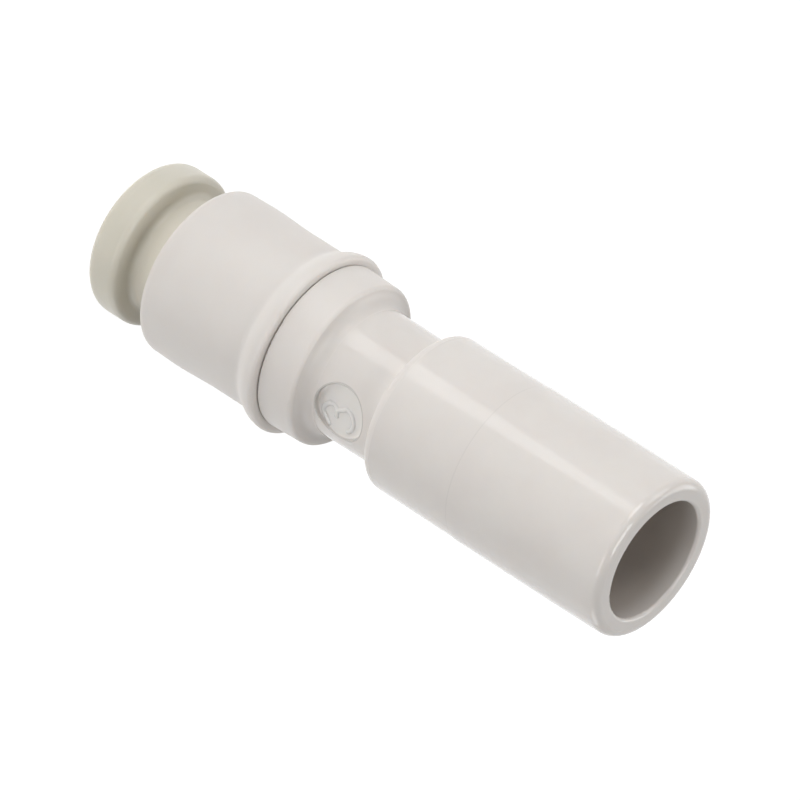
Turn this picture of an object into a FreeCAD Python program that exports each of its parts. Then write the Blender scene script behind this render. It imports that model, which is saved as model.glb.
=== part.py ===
"""Push-in reducer fitting: a socket for a small tube at one end, a plug stem for a larger port at the other.

Sizes are in millimetres. The axis is Z, and the fitting stands on the outer face of its release button:
heights run from that face, through the socket and the neck, up to the open end of the plug stem. The
button's long side lies along Y.
"""

import FreeCAD, Part
import math
import os

Vector = FreeCAD.Vector
AXIS = Vector(0, 0, 1)
ORIGIN = Vector(0, 0, 0)

# What the fitting joins
tube_diameter = 6.0
plug_diameter = 10.0

# Clearances, all measured on the radius or along the axis
tube_clearance = 0.08
stop_bore_clearance = 0.05
running_gap = 0.08
press_gap = 0.02
jaw_gap = 0.06
button_stop_gap = 0.3
flange_stop_gap = 0.67
catch_gap = 0.05
jaw_touch_gap = 0.1
seam_gap = 0.04

# Rounding of the small moulded edges
edge_round = 0.08

# Release button
button_travel = 1.4
flange_thickness = 2.1
flange_overhang_short = 0.81
flange_overhang_long = 1.36
flange_round = 0.55
flange_back_round = 0.4
waist_wall = 0.47
waist_fillet = 0.4
collar_inset = 0.2
skirt_wall = 0.34
mouth_funnel = 0.5
catch_height = 0.14
catch_width = 0.35
nose_chamfer = 0.17

# Collet and its toothed ring
collet_length = 2.9
collet_ring_length = 0.7
finger_wall = 0.47
jaw_rise = 0.22
jaw_cone_length = 0.8
jaw_head_length = 1.3
pad_length = 0.16
jaw_count = 8
jaw_slot_width = 0.45
tooth_bite = 0.07
tooth_ring_wall = 0.2
tooth_ring_seat = 0.64
tooth_rim_width = 0.42
tooth_lean = 0.27
tooth_count = 12
tooth_slot_width = 0.4

# Guide ring
guide_wall = 0.25
guide_overrun = 0.2

# Seal
seal_squeeze = 0.08
seal_flange_height = 0.56
seal_height = 1.95
seal_pocket_clearance = 0.35
seal_pocket_wall = 0.55
seal_wall = 0.46
seal_lip_thickness = 0.3

# Sleeve
sleeve_length = 9.2
sleeve_wall = 0.65
belly_draft = 0.11
belly_height = 2.35
belly_length = 2.5
belly_round = 10.0
mouth_draft = 0.06
mouth_land_length = 1.6
mouth_round = 0.5
mouth_chamfer = 0.15
lip_height = 0.54
lip_width = 0.62
lip_round = 0.25
lip_crest_round = 1.5
flare_length = 0.9
flare_round = 0.9

# Body
barrel_length = 2.47
barrel_foot_round = 0.12
barrel_proud = 0.03
barrel_draft = 0.08
shoulder_round = 0.25
neck_fillet = 0.76
neck_draft = 0.06
neck_wall = 0.96
neck_length = 5.09
tube_stop_depth = 17.0
flow_bore_diameter = 4.2
stem_length = 17.55
stem_root_taper = 0.04
stem_edge_round = 0.75
stem_foot_fillet = 0.3
parting_step = 0.03
parting_height = 11.07
tip_taper = 0.03
gauge_length = 7.0
stem_wall = 1.27
bore_depth = 16.6
bore_draft = 0.25
bore_floor_cone = 1.2
tip_round = 0.55
bore_mouth_round = 0.2

# Recess for the cavity number, in the neck
recess_radius = 1.74
recess_depth = 0.44
recess_round = 0.2
recess_height = 2.57
recess_turn_deg = 40.6

# Radii that follow, from the tube outwards
tube_radius = tube_diameter / 2
socket_bore = tube_radius + tube_clearance
skirt_radius = socket_bore + skirt_wall
collet_bore = skirt_radius + running_gap
finger_radius = collet_bore + finger_wall
jaw_radius = finger_radius + jaw_rise
guide_bore = finger_radius + jaw_gap
guide_radius = guide_bore + guide_wall
guide_head_radius = guide_radius + jaw_rise
sleeve_bore = guide_radius + press_gap
sleeve_head_bore = guide_head_radius + press_gap
catch_radius = sleeve_bore - running_gap
land_bore = catch_radius - catch_height
collar_radius = land_bore - running_gap
waist_radius = socket_bore + waist_wall
flange_short_radius = collar_radius + flange_overhang_short
flange_long_radius = collar_radius + flange_overhang_long
sleeve_foot_radius = sleeve_head_bore + sleeve_wall
sleeve_belly_radius = sleeve_foot_radius + belly_draft
sleeve_mouth_radius = sleeve_belly_radius - mouth_draft
lip_radius = sleeve_foot_radius + lip_height
spigot_radius = guide_head_radius
seal_pocket_radius = spigot_radius - seal_pocket_wall
barrel_radius = sleeve_foot_radius + barrel_proud
shoulder_radius = barrel_radius - barrel_draft
stop_bore = tube_radius + stop_bore_clearance
neck_radius = stop_bore + neck_wall
neck_foot_radius = neck_radius + neck_draft
flow_bore = flow_bore_diameter / 2
plug_radius = plug_diameter / 2
tip_radius = plug_radius - tip_taper
parting_radius = plug_radius - parting_step
stem_root_radius = parting_radius - stem_root_taper
plug_bore = tip_radius - stem_wall
plug_bore_root = plug_bore - bore_draft

# Heights that follow, from the button's face upwards
mouth_z = flange_thickness + button_travel + flange_stop_gap
collar_z = mouth_z + collar_inset
belly_z = mouth_z + belly_height
land_top_z = mouth_z + mouth_land_length
catch_z = land_top_z + catch_gap
catch_top_z = catch_z + catch_width
collet_z = catch_top_z + button_travel + button_stop_gap
collet_top_z = collet_z + collet_length
jaw_head_z = collet_top_z - jaw_head_length
jaw_full_z = jaw_head_z + jaw_cone_length
tooth_seat_z = collet_top_z - tooth_ring_wall
pad_z = tooth_seat_z - pad_length
pad_ramp_z = pad_z - (collet_bore - socket_bore)
nose_radius = skirt_radius - nose_chamfer
nose_z = pad_ramp_z + (collet_bore - nose_radius) - jaw_touch_gap - button_travel
guide_top_z = collet_top_z + guide_overrun
seal_z = guide_top_z + press_gap
spigot_z = seal_z + seal_flange_height + press_gap
seal_top_z = seal_z + seal_height
pocket_top_z = seal_top_z + seal_pocket_clearance
seam_z = mouth_z + sleeve_length
barrel_z = seam_z + seam_gap
shoulder_z = barrel_z + barrel_length
stem_z = shoulder_z + neck_length
end_z = stem_z + stem_length
parting_z = end_z - parting_height
bore_floor_z = end_z - bore_depth
recess_z = shoulder_z + recess_height

# Two roundings on one straight edge take at most this share of it together
ROUND_SHARE = 0.98


def arc_points(back, corner, ahead, reach):
    """Start, middle and end of the arc that rounds a corner, reaching so far along both its edges."""
    to_back = (back - corner).normalize()
    to_ahead = (ahead - corner).normalize()
    half_angle = to_back.getAngle(to_ahead) / 2
    radius = reach * math.tan(half_angle)
    inwards = (to_back + to_ahead).normalize()
    middle = corner + inwards * (radius / math.sin(half_angle) - radius)
    return corner + to_back * reach, middle, corner + to_ahead * reach


def turned(corners):
    """A solid turned about the axis. Each corner is (radius, height) or (radius, height, rounding)."""
    count = len(corners)
    places = [Vector(corner[0], 0, corner[1]) for corner in corners]
    wanted = []
    for index, corner in enumerate(corners):
        rounding = corner[2] if len(corner) == 3 else 0
        to_back = places[index - 1] - places[index]
        to_ahead = places[(index + 1) % count] - places[index]
        wanted.append(rounding / math.tan(to_back.getAngle(to_ahead) / 2))
    reaches = list(wanted)
    for index in range(count):
        other = (index + 1) % count
        room = ROUND_SHARE * (places[other] - places[index]).Length
        both = wanted[index] + wanted[other]
        if both > room:
            reaches[index] = min(reaches[index], wanted[index] * room / both)
            reaches[other] = min(reaches[other], wanted[other] * room / both)
    arcs = []
    for index, reach in enumerate(reaches):
        here = places[index]
        if reach > 0:
            arcs.append(arc_points(places[index - 1], here, places[(index + 1) % count], reach))
        else:
            arcs.append((here, here, here))
    edges = []
    for index, (start, middle, end) in enumerate(arcs):
        if start != end:
            edges.append(Part.Arc(start, middle, end).toShape())
        edges.append(Part.makeLine(end, arcs[(index + 1) % count][0]))
    return Part.Face(Part.Wire(edges)).revolve(ORIGIN, AXIS, 360)


def slots(count, width, inner, outer, bottom, top):
    """Radial slots, evenly spaced round the axis, from one radius to another."""
    slot = Part.makeBox(outer - inner, width, top - bottom, Vector(inner, -width / 2, bottom))
    cutters = []
    for number in range(count):
        cutter = slot.copy()
        cutter.rotate(ORIGIN, AXIS, number * 360.0 / count)
        cutters.append(cutter)
    return Part.makeCompound(cutters)


def oval_flange():
    """The flange that a finger presses: an oval plate with rounded edges."""
    long_side = Vector(0, flange_long_radius, 0)
    short_side = Vector(flange_short_radius, 0, 0)
    outline = Part.Ellipse(long_side, short_side, ORIGIN).toShape()
    plate = Part.Face(Part.Wire([outline])).extrude(AXIS * flange_thickness)
    middle_z = flange_thickness / 2
    pressed_edges = [edge for edge in plate.Edges if edge.BoundBox.ZMax < middle_z]
    plate = plate.makeFillet(flange_round, pressed_edges)
    back_edges = [edge for edge in plate.Edges if edge.BoundBox.ZMin > middle_z]
    return plate.makeFillet(flange_back_round, back_edges)


def release_button():
    """Button with an oval flange and a slim waist, a collar and catch in the sleeve, and a thin nose."""
    waist_foot_radius = (waist_radius + flange_short_radius) / 2
    core = turned([
        (socket_bore, 0),
        (waist_foot_radius, 0),
        (waist_foot_radius, flange_thickness),
        (waist_radius, flange_thickness, waist_fillet),
        (waist_radius, collar_z),
        (collar_radius, collar_z, edge_round),
        (collar_radius, catch_z),
        (catch_radius, catch_z),
        (catch_radius, catch_z + catch_width / 2),
        (collar_radius - running_gap, catch_top_z),
        (skirt_radius, catch_top_z, edge_round),
        (skirt_radius, nose_z - nose_chamfer),
        (nose_radius, nose_z),
        (socket_bore, nose_z),
    ])
    funnel = Part.makeCone(
        socket_bore + mouth_funnel, socket_bore, mouth_funnel, ORIGIN, AXIS)
    bore = Part.makeCylinder(socket_bore, nose_z, ORIGIN, AXIS)
    return oval_flange().fuse(core).cut(bore.fuse(funnel)).removeSplitter()


def collet():
    """Slotted ring whose jaws close on the tube when it is pulled, and open on the button's nose."""
    blank = turned([
        (collet_bore, collet_z, edge_round),
        (finger_radius, collet_z, edge_round),
        (finger_radius, jaw_head_z),
        (jaw_radius, jaw_full_z),
        (jaw_radius, collet_top_z, edge_round),
        (socket_bore + tooth_ring_seat, collet_top_z),
        (socket_bore + tooth_ring_seat, tooth_seat_z),
        (socket_bore, tooth_seat_z),
        (socket_bore, pad_z),
        (collet_bore, pad_ramp_z),
    ])
    slot_bottom_z = collet_z + collet_ring_length
    slot_top_z = collet_top_z + jaw_slot_width
    return blank.cut(slots(jaw_count, jaw_slot_width, 0, guide_radius, slot_bottom_z, slot_top_z))


def grip_ring():
    """Thin spring-steel ring with teeth that lean away from the mouth and bite the tube."""
    rim_outer = socket_bore + tooth_ring_seat - press_gap
    rim_inner = rim_outer - tooth_rim_width
    bite_radius = tube_radius - tooth_bite
    bottom_z = tooth_seat_z + press_gap
    top_z = bottom_z + tooth_ring_wall - press_gap
    blank = turned([
        (rim_outer, bottom_z),
        (rim_outer, top_z),
        (rim_inner, top_z),
        (bite_radius, top_z + tooth_lean),
        (bite_radius, bottom_z + tooth_lean),
        (rim_inner, bottom_z),
    ])
    return blank.cut(slots(tooth_count, tooth_slot_width, 0, rim_inner, bottom_z, end_z))


def guide_ring():
    """Formed steel ring with the cone that wedges the jaws."""
    return turned([
        (guide_bore, collet_z),
        (guide_radius, collet_z),
        (guide_radius, jaw_head_z),
        (guide_head_radius, jaw_full_z),
        (guide_head_radius, guide_top_z),
        (guide_head_radius - guide_wall, guide_top_z),
        (guide_head_radius - guide_wall, jaw_full_z),
        (guide_bore, jaw_head_z),
    ])


def lip_seal():
    """Rubber seal: a flange clamped by the body, and an inner lip that pressure closes on the tube."""
    pocket_side = seal_pocket_radius - press_gap
    wall_inner = pocket_side - seal_wall
    sealing_radius = tube_radius - seal_squeeze
    lip_root_z = seal_z + seal_flange_height
    lip_top_z = seal_top_z - seal_lip_thickness
    return turned([
        (wall_inner, seal_z, edge_round),
        (spigot_radius, seal_z),
        (spigot_radius, lip_root_z),
        (pocket_side, lip_root_z),
        (pocket_side, seal_top_z, edge_round),
        (pocket_side - seal_lip_thickness, seal_top_z, edge_round),
        (pocket_side - seal_lip_thickness, lip_root_z + seal_lip_thickness, edge_round),
        (sealing_radius + seal_lip_thickness, lip_top_z, edge_round),
        (sealing_radius, lip_top_z, edge_round),
        (sealing_radius, lip_top_z - seal_lip_thickness, edge_round),
    ])


def socket_sleeve():
    """Outer sleeve: it holds the button and the guide ring, and ends in a flared lip for the fingers."""
    crest_z = seam_z - lip_width
    flare_z = crest_z - flare_length
    return turned([
        (land_bore, mouth_z, mouth_chamfer),
        (sleeve_mouth_radius, mouth_z, mouth_round),
        (sleeve_belly_radius, belly_z, belly_round),
        (sleeve_foot_radius, belly_z + belly_length, belly_round),
        (sleeve_foot_radius, flare_z, flare_round),
        (lip_radius, crest_z, lip_crest_round),
        (lip_radius, seam_z, lip_round),
        (sleeve_head_bore, seam_z),
        (sleeve_head_bore, jaw_full_z),
        (sleeve_bore, jaw_head_z),
        (sleeve_bore, land_top_z),
        (land_bore, land_top_z),
    ])


def cavity_recess():
    """Round flat-bottomed pocket, sunk into the side of the neck."""
    floor = neck_radius - recess_depth
    outside = barrel_radius + recess_depth
    turn = math.radians(recess_turn_deg)
    direction = Vector(math.sin(turn), -math.cos(turn), 0)
    centre = direction * floor + Vector(0, 0, recess_z)
    pocket = Part.makeCylinder(recess_radius, outside - floor, centre, direction)
    floor_edges = [edge for edge in pocket.Edges
                   if abs((edge.CenterOfMass - centre).dot(direction)) < press_gap]
    return pocket.makeFillet(recess_round, floor_edges)


def plug_body():
    """The long moulding: spigot and seal pocket, shoulder, neck and hollow plug stem."""
    blank = turned([
        (seal_pocket_radius, spigot_z),
        (spigot_radius, spigot_z),
        (spigot_radius, barrel_z),
        (barrel_radius, barrel_z, barrel_foot_round),
        (shoulder_radius, shoulder_z, shoulder_round),
        (neck_foot_radius, shoulder_z, neck_fillet),
        (neck_radius, stem_z, stem_foot_fillet),
        (stem_root_radius, stem_z, stem_edge_round),
        (parting_radius, parting_z),
        (plug_radius, parting_z),
        (plug_radius, parting_z + gauge_length),
        (tip_radius, end_z, tip_round),
        (plug_bore, end_z, bore_mouth_round),
        (plug_bore_root, bore_floor_z),
        (flow_bore, bore_floor_z - bore_floor_cone),
        (flow_bore, tube_stop_depth),
        (stop_bore, tube_stop_depth),
        (stop_bore, pocket_top_z),
        (seal_pocket_radius, pocket_top_z),
    ])
    return blank.cut(cavity_recess())


pieces = {
    "plug_body": plug_body(),
    "socket_sleeve": socket_sleeve(),
    "release_button": release_button(),
    "collet": collet(),
    "grip_ring": grip_ring(),
    "guide_ring": guide_ring(),
    "lip_seal": lip_seal(),
}

os.makedirs("parts", exist_ok=True)
for name, shape in pieces.items():
    shape.exportStep(f"parts/{name}.step")
    print(name, "valid" if shape.isValid() else "NOT VALID", len(shape.Solids), "solid,",
          round(shape.Volume, 2), "mm3")
print("length", round(end_z, 2), "mm")
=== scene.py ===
"""Looks of a push-in reducer fitting: a small tube socket with a release button, and a hollow plug stem."""

import math

import bmesh
import bpy
from mathutils import Matrix, Vector


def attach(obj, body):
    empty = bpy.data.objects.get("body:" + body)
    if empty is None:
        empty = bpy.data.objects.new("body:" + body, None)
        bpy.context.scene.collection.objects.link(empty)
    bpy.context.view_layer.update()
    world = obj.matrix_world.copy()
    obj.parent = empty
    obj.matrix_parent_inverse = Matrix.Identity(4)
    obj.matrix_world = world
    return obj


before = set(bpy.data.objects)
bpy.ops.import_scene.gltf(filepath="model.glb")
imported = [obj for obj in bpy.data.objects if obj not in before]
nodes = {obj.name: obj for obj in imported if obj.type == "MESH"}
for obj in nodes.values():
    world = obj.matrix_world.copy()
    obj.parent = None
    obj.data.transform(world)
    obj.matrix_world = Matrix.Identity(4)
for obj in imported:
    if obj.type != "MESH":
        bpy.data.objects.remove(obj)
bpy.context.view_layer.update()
scene = bpy.context.scene

MM = 0.001


# Body. One injection moulding in a warm white engineering plastic: seal pocket, shoulder, neck and
# hollow plug stem. The shoulder has the mould's fine matt skin. The neck and the stem come from polished
# steel, because a port's seal runs on the stem.
class Wire:
    """A value, colour or vector on its way through a material, written like a number."""

    def __init__(self, shader, socket):
        self.shader = shader
        self.socket = socket

    def math(self, operation, *operands):
        kind = "ShaderNodeMath" if self.socket.type == "VALUE" else "ShaderNodeVectorMath"
        return self.shader.node(kind, {"operation": operation}, *operands)

    def __add__(self, other):
        return self.math("ADD", self, other)

    def __radd__(self, other):
        return self.math("ADD", other, self)

    def __sub__(self, other):
        return self.math("SUBTRACT", self, other)

    def __rsub__(self, other):
        return self.math("SUBTRACT", other, self)

    def __mul__(self, other):
        return self.math("MULTIPLY", self, other)

    def __rmul__(self, other):
        return self.math("MULTIPLY", other, self)

    def height(self):
        return self.shader.node("ShaderNodeSeparateXYZ", {}, self, output="Z")

    def length(self):
        return self.shader.node("ShaderNodeVectorMath", {"operation": "LENGTH"}, self, output="Value")

    def reach(self, direction):
        """How far a place lies along a direction."""
        return self.shader.node(
            "ShaderNodeVectorMath", {"operation": "DOT_PRODUCT"}, self, direction, output="Value")


class Shader:
    """The nodes of one material, floor or backdrop."""

    def __init__(self, tree):
        self.tree = tree
        tree.nodes.clear()

    def node(self, kind, settings, *inputs, output=0, **named):
        """One node: its settings first, then what its sockets hold, in their order or by name."""
        made = self.tree.nodes.new(kind)
        for setting, value in settings.items():
            setattr(made, setting, value)
        by_name = [(name.replace("_", " "), value) for name, value in named.items()]
        for socket, value in list(enumerate(inputs)) + by_name:
            if value is not None:
                self.fill(made.inputs[socket], value)
        return Wire(self, made.outputs[output]) if made.outputs else made

    def fill(self, socket, value):
        """Links a wire to a socket, or sets the socket's own value."""
        if isinstance(value, Wire):
            self.tree.links.new(value.socket, socket)
        elif socket.type == "VECTOR" and not hasattr(value, "__len__"):
            socket.default_value = (value, value, value)
        else:
            socket.default_value = value

    def blend(self, share, low, high):
        """From one colour to another, as the share goes from 0 to 1."""
        number_and_vector_sockets = [None] * 5
        return self.node(
            "ShaderNodeMix", {"data_type": "RGBA"}, share, *number_and_vector_sockets, low, high, output=2)

    def smooth_step(self, value, start, end):
        """0 before start, 1 after end, and smooth between."""
        return self.node(
            "ShaderNodeMapRange", {"interpolation_type": "SMOOTHSTEP"}, value, start, end, 0.0, 1.0)


def rgba(red, green, blue):
    return (red, green, blue, 1.0)


def noise(shader, place, per_mm, detail, roughness):
    """Soft cloudy noise from 0 to 1, with so many waves in a millimetre."""
    return shader.node(
        "ShaderNodeTexNoise", {"noise_dimensions": "3D"},
        Vector=place, Scale=per_mm, Detail=detail, Roughness=roughness)


CLOUDS_PER_MM = 0.35
CLOUDS_START = 0.35
CLOUDS_END = 0.7
GRAIN_GLOSS = 0.06
GLOW_REACH = 0.4 * MM
GLOW_TINT = (1.0, 0.85, 0.7)


def moulded_plastic(name, colour, cloud_colour, roughness, grain_mm, grain_depth_mm, glow=0.0, painted_light=None):
    """Moulded plastic: faint clouds of flow in its colour, and the mould's own grain on its skin.

    Its roughness is one number, or a function of the place. Its painted light is a function that paints
    light and shade into the colour in places, and its glow is the share of light that goes into it and comes
    out again.
    """
    material = bpy.data.materials.new(name)
    material.use_nodes = True
    shader = Shader(material.node_tree)
    place = shader.node("ShaderNodeTexCoord", {}, output="Object") * (1 / MM)
    clouds = noise(shader, place, CLOUDS_PER_MM, detail=3.0, roughness=0.5)
    grain = noise(shader, place, 1 / grain_mm, detail=3.0, roughness=0.6)
    colour_here = shader.blend(shader.smooth_step(clouds, CLOUDS_START, CLOUDS_END), colour, cloud_colour)
    # Painted light and shade, where a piece has them, go into its colour here.
    if painted_light:
        colour_here = painted_light(shader, place, colour_here)
    bump = shader.node("ShaderNodeBump", {}, Strength=1.0, Distance=grain_depth_mm * MM, Height=grain)
    skin = roughness(shader, place) if callable(roughness) else roughness
    principled = shader.node(
        "ShaderNodeBsdfPrincipled", {"subsurface_method": "RANDOM_WALK"},
        Base_Color=colour_here, Roughness=skin + GRAIN_GLOSS * (grain - 0.5), Normal=bump,
        Subsurface_Weight=glow, Subsurface_Radius=GLOW_TINT, Subsurface_Scale=GLOW_REACH)
    shader.node("ShaderNodeOutputMaterial", {}, Surface=principled)
    return material


def finish_node(name, material):
    """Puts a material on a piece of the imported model."""
    mesh = nodes[name].data
    mesh.materials.clear()
    mesh.materials.append(material)


WARM_WHITE = rgba(0.73, 0.695, 0.66)
MATT_SKIN = 0.42
POLISHED_SKIN = 0.12
PLASTIC_GLOW = 0.4
SHOULDER_TOP = 15.88
STEM_FOOT = 20.97
STEM_END = 38.52
PARTING_HEIGHT = 27.45
BORE_RADIUS = 3.7
RECESS_HEIGHT = 18.45
RECESS_RADIUS = 1.74
RECESS_TURN = math.radians(40.6)
recess_outwards = Vector((math.sin(RECESS_TURN), -math.cos(RECESS_TURN), 0))
recess_rightwards = Vector((-math.cos(RECESS_TURN), -math.sin(RECESS_TURN), 0))


def body_skin(shader, place):
    """Matt on the shoulder and in the corner at the stem's foot, polished on the neck and the stem."""
    height = place.height()
    neck_start = shader.smooth_step(height, SHOULDER_TOP + 0.5, SHOULDER_TOP + 1.1)
    neck_end = shader.smooth_step(height, STEM_FOOT - 0.5, STEM_FOOT - 0.1)
    stem = shader.smooth_step(height, STEM_FOOT + 0.3, STEM_FOOT + 1.0)
    return MATT_SKIN + (neck_start - neck_end + stem) * (POLISHED_SKIN - MATT_SKIN)


RECESS_PAINTED_LIGHT_COLOUR = rgba(0.86, 0.825, 0.785)
PAINTED_SHADE_COLOUR = rgba(0.42, 0.4, 0.38)
BORE_PAINTED_SHADE_COLOUR = rgba(0.545, 0.495, 0.452)
RIM_PAINTED_SHADE = 0.65
PARTING_PAINTED_SHADE = 0.13


def body_painted_light(shader, place, colour):
    """Painted light and shade: a recess floor painted brighter, painted dark shade round the recess edge and
    along the fine step where the mould halves meet, and a stem hollow painted dull.
    """
    height = place.height()
    radius = (place * (1.0, 1.0, 0.0)).length()
    across_recess = shader.node(
        "ShaderNodeCombineXYZ", {}, place.reach(recess_rightwards), height - RECESS_HEIGHT)
    from_middle = across_recess.length()
    recess_side = shader.smooth_step(place.reach(recess_outwards), 1.0, 2.0)

    # Painted light: the recess floor is painted brighter than the body, lifting the shade inside the recess.
    floor = 1 - shader.smooth_step(from_middle, RECESS_RADIUS, RECESS_RADIUS + 0.03)
    colour = shader.blend(floor * recess_side, colour, RECESS_PAINTED_LIGHT_COLOUR)

    # Painted shade: a dark line on the outer part of the recess wall and round its edge.
    wall = shader.smooth_step(from_middle, RECESS_RADIUS - 0.14, RECESS_RADIUS - 0.04)
    wall_top = shader.smooth_step(radius, 3.68, 3.86)
    rim_painted_shade = wall * wall_top - shader.smooth_step(from_middle, RECESS_RADIUS + 0.03, RECESS_RADIUS + 0.1)
    # Painted shade: a fine dark line along the step where the mould halves meet.
    parting_painted_shade = shader.smooth_step(height, PARTING_HEIGHT - 0.07, PARTING_HEIGHT - 0.03)
    parting_painted_shade = parting_painted_shade - shader.smooth_step(height, PARTING_HEIGHT + 0.02, PARTING_HEIGHT + 0.06)
    colour = shader.blend(rim_painted_shade * recess_side * RIM_PAINTED_SHADE + parting_painted_shade * PARTING_PAINTED_SHADE, colour, PAINTED_SHADE_COLOUR)

    # Painted shade: the stem's hollow is painted darker, fading out towards its mouth.
    bore_painted_shade = 1 - shader.smooth_step(radius, BORE_RADIUS, BORE_RADIUS + 0.16)
    bore_painted_shade = bore_painted_shade * shader.smooth_step(height, STEM_FOOT, STEM_FOOT + 1.0)
    bore_painted_shade = bore_painted_shade * (1 - shader.smooth_step(height, STEM_END - 1.5, STEM_END - 0.1))
    return shader.blend(bore_painted_shade, colour, BORE_PAINTED_SHADE_COLOUR)


body_plastic = moulded_plastic(
    "body_plastic", WARM_WHITE, rgba(0.715, 0.675, 0.64),
    body_skin, grain_mm=0.5, grain_depth_mm=0.004, glow=PLASTIC_GLOW, painted_light=body_painted_light)
finish_node("plug_body", body_plastic)


# Cavity number. The mould maker cuts a number into each cavity of the mould, so it stands up from the
# floor of the round recess in the neck, in the body's own plastic.
RECESS_FLOOR = 3.55
DIGIT_HEIGHT = 18.1
DIGIT_ASIDE = 0.7
STROKE_WIDTH = 0.32
STROKE_RISE = 0.1
STROKE_SIDES = 12
CURVE_STEPS = 5
END_STEPS = 8
UPPER_BOWL = [
    (-0.6, 0.49), (-0.31, 0.76), (-0.01, 1.02), (0.39, 0.96),
    (0.68, 0.64), (0.73, 0.32), (0.49, 0.12), (0.11, 0.05)]
LOWER_BOWL = [
    (0.46, 0.11), (0.69, -0.23), (0.89, -0.57), (0.8, -0.89),
    (0.51, -1.1), (0.17, -1.18), (-0.17, -1.11), (-0.41, -0.91)]


def rounded_path(corners):
    """Points along a smooth curve through the corners."""
    points = [Vector(corner) for corner in corners]
    padded = [2 * points[0] - points[1]] + points + [2 * points[-1] - points[-2]]
    path = []
    for before, start, end, after in zip(padded, padded[1:], padded[2:], padded[3:]):
        for step in range(CURVE_STEPS):
            t = step / CURVE_STEPS
            path.append(0.5 * (
                2 * start + (end - before) * t
                + (2 * before - 5 * start + 4 * end - after) * t * t
                + (3 * start - before - 3 * end + after) * t ** 3))
    return path + [points[-1]]


def round_ends(path, half_width):
    """Each ring of a stroke: its middle, its way along the path, and its share of the full thickness."""
    last = len(path) - 1
    rings = []
    for index, point in enumerate(path):
        along = (path[min(index + 1, last)] - path[max(index - 1, 0)]).normalized()
        rings.append((point, along, 1.0))
    turns = [math.pi / 2 * step / END_STEPS for step in range(1, END_STEPS + 1)]
    foot, foot_way, _ = rings[0]
    tip, tip_way, _ = rings[-1]
    head = [(foot - foot_way * half_width * math.sin(turn), foot_way, math.cos(turn)) for turn in turns]
    tail = [(tip + tip_way * half_width * math.sin(turn), tip_way, math.cos(turn)) for turn in turns]
    return head[::-1] + rings + tail


def stroke(corners):
    """A round-ended ridge along a flat curve, as a cutter leaves it."""
    half_width = STROKE_WIDTH / 2
    ridge = bmesh.new()
    loops = []
    for point, along, share in round_ends(rounded_path(corners), half_width):
        across = Vector((-along.y, along.x)) * half_width * share
        loop = []
        for side in range(STROKE_SIDES):
            angle = 2 * math.pi * side / STROKE_SIDES
            flat = point + across * math.cos(angle)
            loop.append(ridge.verts.new((flat.x, flat.y, STROKE_RISE * share * math.sin(angle))))
        loops.append(loop)
    for loop, following in zip(loops, loops[1:]):
        for side in range(STROKE_SIDES):
            beside = (side + 1) % STROKE_SIDES
            ridge.faces.new((loop[side], loop[beside], following[beside], following[side]))
    bmesh.ops.remove_doubles(ridge, verts=ridge.verts, dist=1e-5)
    bmesh.ops.recalc_face_normals(ridge, faces=ridge.faces)
    mesh = bpy.data.meshes.new("stroke")
    ridge.to_mesh(mesh)
    ridge.free()
    piece = bpy.data.objects.new("stroke", mesh)
    scene.collection.objects.link(piece)
    return piece


upper_stroke = stroke(UPPER_BOWL)
lower_stroke = stroke(LOWER_BOWL)
joining = upper_stroke.modifiers.new("joining", "BOOLEAN")
joining.operation = "UNION"
joining.solver = "EXACT"
joining.object = lower_stroke
joined = upper_stroke.evaluated_get(bpy.context.evaluated_depsgraph_get())
digit_mesh = bpy.data.meshes.new_from_object(joined)
digit_mesh.name = "cavity_number"
bpy.data.objects.remove(upper_stroke)
bpy.data.objects.remove(lower_stroke)

digit_place = Matrix((recess_rightwards, Vector((0, 0, -1)), recess_outwards)).transposed().to_4x4()
digit_middle = recess_outwards * RECESS_FLOOR - recess_rightwards * DIGIT_ASIDE
digit_place.translation = digit_middle + Vector((0, 0, DIGIT_HEIGHT))
digit_mesh.transform(Matrix.Scale(MM, 4) @ digit_place)
for face in digit_mesh.polygons:
    face.use_smooth = True
cavity_number = bpy.data.objects.new("cavity_number", digit_mesh)
scene.collection.objects.link(cavity_number)
digit_mesh.materials.append(body_plastic)
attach(cavity_number, "housing")


# Seal. A moulded nitrile rubber lip seal, black and slightly dull. It is clamped in the body's pocket
# behind the guide ring.
seal_rubber = moulded_plastic(
    "seal_rubber", rgba(0.022, 0.022, 0.024), rgba(0.03, 0.029, 0.028),
    0.5, grain_mm=0.15, grain_depth_mm=0.004)
finish_node("lip_seal", seal_rubber)


# Guide ring. Stainless steel tube, formed on a tool into a straight part and the cone that wedges the
# jaws. Fine lines from the forming run round it.
FORMING_LINES = (0.4, 0.4, 12.0)
FORMING_LINES_PER_MM = 1.5
FORMING_GLOSS = 0.15


def drawn_steel(name, colour, dark_colour, roughness):
    """Formed stainless steel, with fine lines round the axis."""
    material = bpy.data.materials.new(name)
    material.use_nodes = True
    shader = Shader(material.node_tree)
    place = shader.node("ShaderNodeTexCoord", {}, output="Object") * (1 / MM)
    lines = noise(shader, place * FORMING_LINES, FORMING_LINES_PER_MM, detail=4.0, roughness=0.7)
    bump = shader.node("ShaderNodeBump", {}, Strength=0.6, Distance=0.002 * MM, Height=lines)
    principled = shader.node(
        "ShaderNodeBsdfPrincipled", {},
        Base_Color=shader.blend(shader.smooth_step(lines, 0.3, 0.7), dark_colour, colour),
        Metallic=1.0, Roughness=roughness + FORMING_GLOSS * (lines - 0.5), Normal=bump)
    shader.node("ShaderNodeOutputMaterial", {}, Surface=principled)
    return material


formed_steel = drawn_steel("formed_steel", rgba(0.66, 0.66, 0.67), rgba(0.56, 0.56, 0.57), 0.3)
finish_node("guide_ring", formed_steel)


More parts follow.
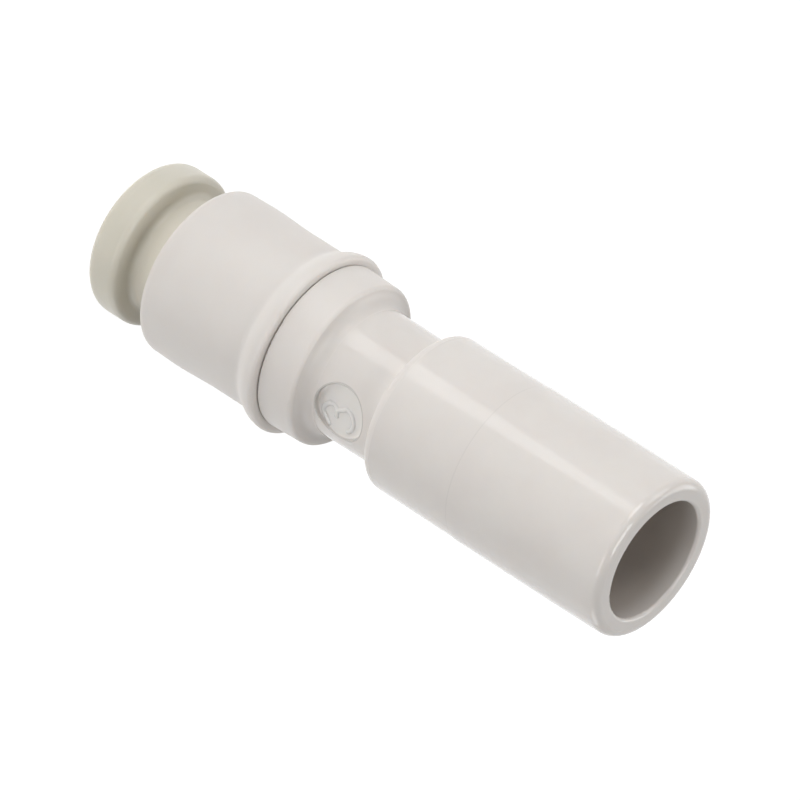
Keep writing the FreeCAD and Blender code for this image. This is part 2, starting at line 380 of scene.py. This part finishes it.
# Collet and toothed ring. The collet is a slotted ring in natural white acetal, and the thin ring of
# spring steel in its jaws has the teeth that bite the tube.
collet_plastic = moulded_plastic(
    "collet_plastic", rgba(0.75, 0.75, 0.72), rgba(0.72, 0.72, 0.69),
    0.35, grain_mm=0.2, grain_depth_mm=0.003)
finish_node("collet", collet_plastic)
spring_steel = drawn_steel("spring_steel", rgba(0.62, 0.62, 0.63), rgba(0.5, 0.5, 0.52), 0.25)
finish_node("grip_ring", spring_steel)


# Sleeve. An injection moulded cover in the body's white, pressed over the spigot. Its outside has the
# mould's fine matt texture, and its lip is where the fingers hold while the thumb pushes the button.
sleeve_plastic = moulded_plastic(
    "sleeve_plastic", WARM_WHITE, rgba(0.72, 0.68, 0.645),
    MATT_SKIN, grain_mm=0.12, grain_depth_mm=0.006, glow=PLASTIC_GLOW)
finish_node("socket_sleeve", sleeve_plastic)


# Release button. Moulded in a light grey-green acetal, with an oval flange to press, a smooth waist and
# a thin skirt whose nose opens the jaws.
WAIST_FOOT = 2.1
WAIST_PAINTED_LIGHT_COLOUR = rgba(0.75, 0.715, 0.625)


def waist_painted_light(shader, place, colour):
    """Painted light: the waist is painted paler than the flange, for the light that its thin wall lets
    through.
    """
    waist = shader.smooth_step(place.height(), WAIST_FOOT, WAIST_FOOT + 0.5)
    return shader.blend(waist, colour, WAIST_PAINTED_LIGHT_COLOUR)


button_plastic = moulded_plastic(
    "button_plastic", rgba(0.66, 0.63, 0.545), rgba(0.645, 0.615, 0.525),
    0.36, grain_mm=0.15, grain_depth_mm=0.004, glow=PLASTIC_GLOW, painted_light=waist_painted_light)
finish_node("release_button", button_plastic)


# Floor and backdrop. The white glowing top of a light table, which carries on into a white backdrop. It
# lies a hair below the button's face, which stands on it.
FLOOR_RADIUS = 0.6
FLOOR_DROP = 0.02 * MM
FLOOR_PAINT = 0.8
FLOOR_GLOW = 0.476
FLOOR_SHOWN = 1.1
SHOWN_SHARE = 0.8
WHITE = rgba(1, 1, 1)


def seen_directly(shader):
    """1 where the camera, a reflection or clear material shows the surroundings, 0 where they only light."""
    shown, reflected, through = [
        shader.node("ShaderNodeLightPath", {}, output=ray)
        for ray in ("Is Camera Ray", "Is Glossy Ray", "Is Transmission Ray")]
    shown = shown.math("MAXIMUM", shown, reflected)
    return shown.math("MAXIMUM", shown, through)


bpy.ops.mesh.primitive_circle_add(
    vertices=128, radius=FLOOR_RADIUS, fill_type="NGON", location=(0, 0, -FLOOR_DROP))
floor = bpy.context.object
floor.name = "floor"
floor_paint = bpy.data.materials.new("floor_paint")
floor_paint.use_nodes = True
shader = Shader(floor_paint.node_tree)
painted = shader.node("ShaderNodeBsdfDiffuse", {}, rgba(FLOOR_PAINT, FLOOR_PAINT, FLOOR_PAINT))
glowing = shader.node("ShaderNodeEmission", {}, WHITE, FLOOR_GLOW)
table_top = shader.node("ShaderNodeAddShader", {}, painted, glowing)
shown_white = shader.node("ShaderNodeEmission", {}, WHITE, FLOOR_SHOWN)
surface = shader.node(
    "ShaderNodeMixShader", {}, seen_directly(shader) * SHOWN_SHARE, table_top, shown_white)
shader.node("ShaderNodeOutputMaterial", {}, Surface=surface)
floor.data.materials.append(floor_paint)

world = bpy.data.worlds.new("backdrop")
scene.world = world
world.use_nodes = True
shader = Shader(world.node_tree)
backdrop = shader.node("ShaderNodeBackground", {}, WHITE, seen_directly(shader))
shader.node("ShaderNodeOutputWorld", {}, Surface=backdrop)


# Camera. It stands at the photograph's angle: 28 degrees above the table and rolled, so that the
# fitting lies across the picture.
CAMERA_DISTANCE = 0.5
CAMERA_LENS = 401.0
CAMERA_SENSOR = 36.0
CAMERA_TILT = math.radians(28.3)
CAMERA_ROLL = math.radians(32.58)
CAMERA_ASIDE = 0.062 * MM
CAMERA_DROP = 0.163 * MM
TARGET_HEIGHT = 19.47 * MM
target = Vector((0, 0, TARGET_HEIGHT))
back = Vector((0, -math.cos(CAMERA_TILT), math.sin(CAMERA_TILT)))
along = Vector((0, math.sin(CAMERA_TILT), math.cos(CAMERA_TILT)))
aside = Vector((1, 0, 0))
right = along * math.cos(CAMERA_ROLL) - aside * math.sin(CAMERA_ROLL)
up = -along * math.sin(CAMERA_ROLL) - aside * math.cos(CAMERA_ROLL)
camera_data = bpy.data.cameras.new("camera")
camera_data.lens = CAMERA_LENS
camera_data.sensor_width = CAMERA_SENSOR
camera_data.clip_start = 0.01
camera_data.clip_end = 10.0
camera = bpy.data.objects.new("camera", camera_data)
scene.collection.objects.link(camera)
camera_place = Matrix((right, up, back)).transposed().to_4x4()
camera_place.translation = target + back * CAMERA_DISTANCE + right * CAMERA_ASIDE - up * CAMERA_DROP
camera.matrix_world = camera_place
scene.camera = camera


# Lamps. Square soft boxes stand round the light table, each a little apart in strength. A low strip
# just over the table top draws the line of light on the stem.
BOX_DISTANCE = 0.5
BOX_SIDE = 0.25
UPRIGHT = Vector((0, 0, 1))
SOFT_BOXES = {
    "right_box": (-40, 8, 0.551),
    "left_box": (40, 8, 0.825),
    "side_box": (90, 40, 0.435),
    "back_box": (150, 40, 0.403),
    "rim_box": (-120, 8, 0.3285),
    "top_box": (0, 75, 0.934),
}
STRIP_TURN = 38
STRIP_START = 28 * MM
STRIP_END = 92 * MM
STRIP_WIDTH = 18 * MM
STRIP_LIFT = 0.5 * MM
STRIP_POWER = 0.0065


def area_lamp(name, place, facing, along, width, length, power):
    """A white rectangular lamp that the camera doesn't see, its length along the given way."""
    lamp = bpy.data.lights.new(name, "AREA")
    lamp.shape = "RECTANGLE"
    lamp.size = width
    lamp.size_y = length
    lamp.energy = power
    box = bpy.data.objects.new(name, lamp)
    scene.collection.objects.link(box)
    x_axis = facing.cross(along).normalized()
    y_axis = x_axis.cross(facing)
    box.matrix_world = Matrix.Translation(place) @ Matrix((x_axis, y_axis, -facing)).transposed().to_4x4()
    box.visible_camera = False


def direction(turn_deg, rise_deg):
    """The way out from the table's middle, turned from the camera's side towards -X, and so far up."""
    turn = math.radians(turn_deg)
    rise = math.radians(rise_deg)
    return Vector((-math.sin(turn) * math.cos(rise), -math.cos(turn) * math.cos(rise), math.sin(rise)))


for name, (turn_deg, rise_deg, power) in SOFT_BOXES.items():
    towards = direction(turn_deg, rise_deg)
    area_lamp(name, target + towards * BOX_DISTANCE, -towards, UPRIGHT, BOX_SIDE, BOX_SIDE, power)

strip_way = direction(STRIP_TURN, 0)
strip_middle = strip_way * (STRIP_START + STRIP_END) / 2 + UPRIGHT * STRIP_LIFT
area_lamp("strip_lamp", strip_middle, UPRIGHT, strip_way, STRIP_WIDTH, STRIP_END - STRIP_START, STRIP_POWER)

scene.view_settings.view_transform = "Standard"
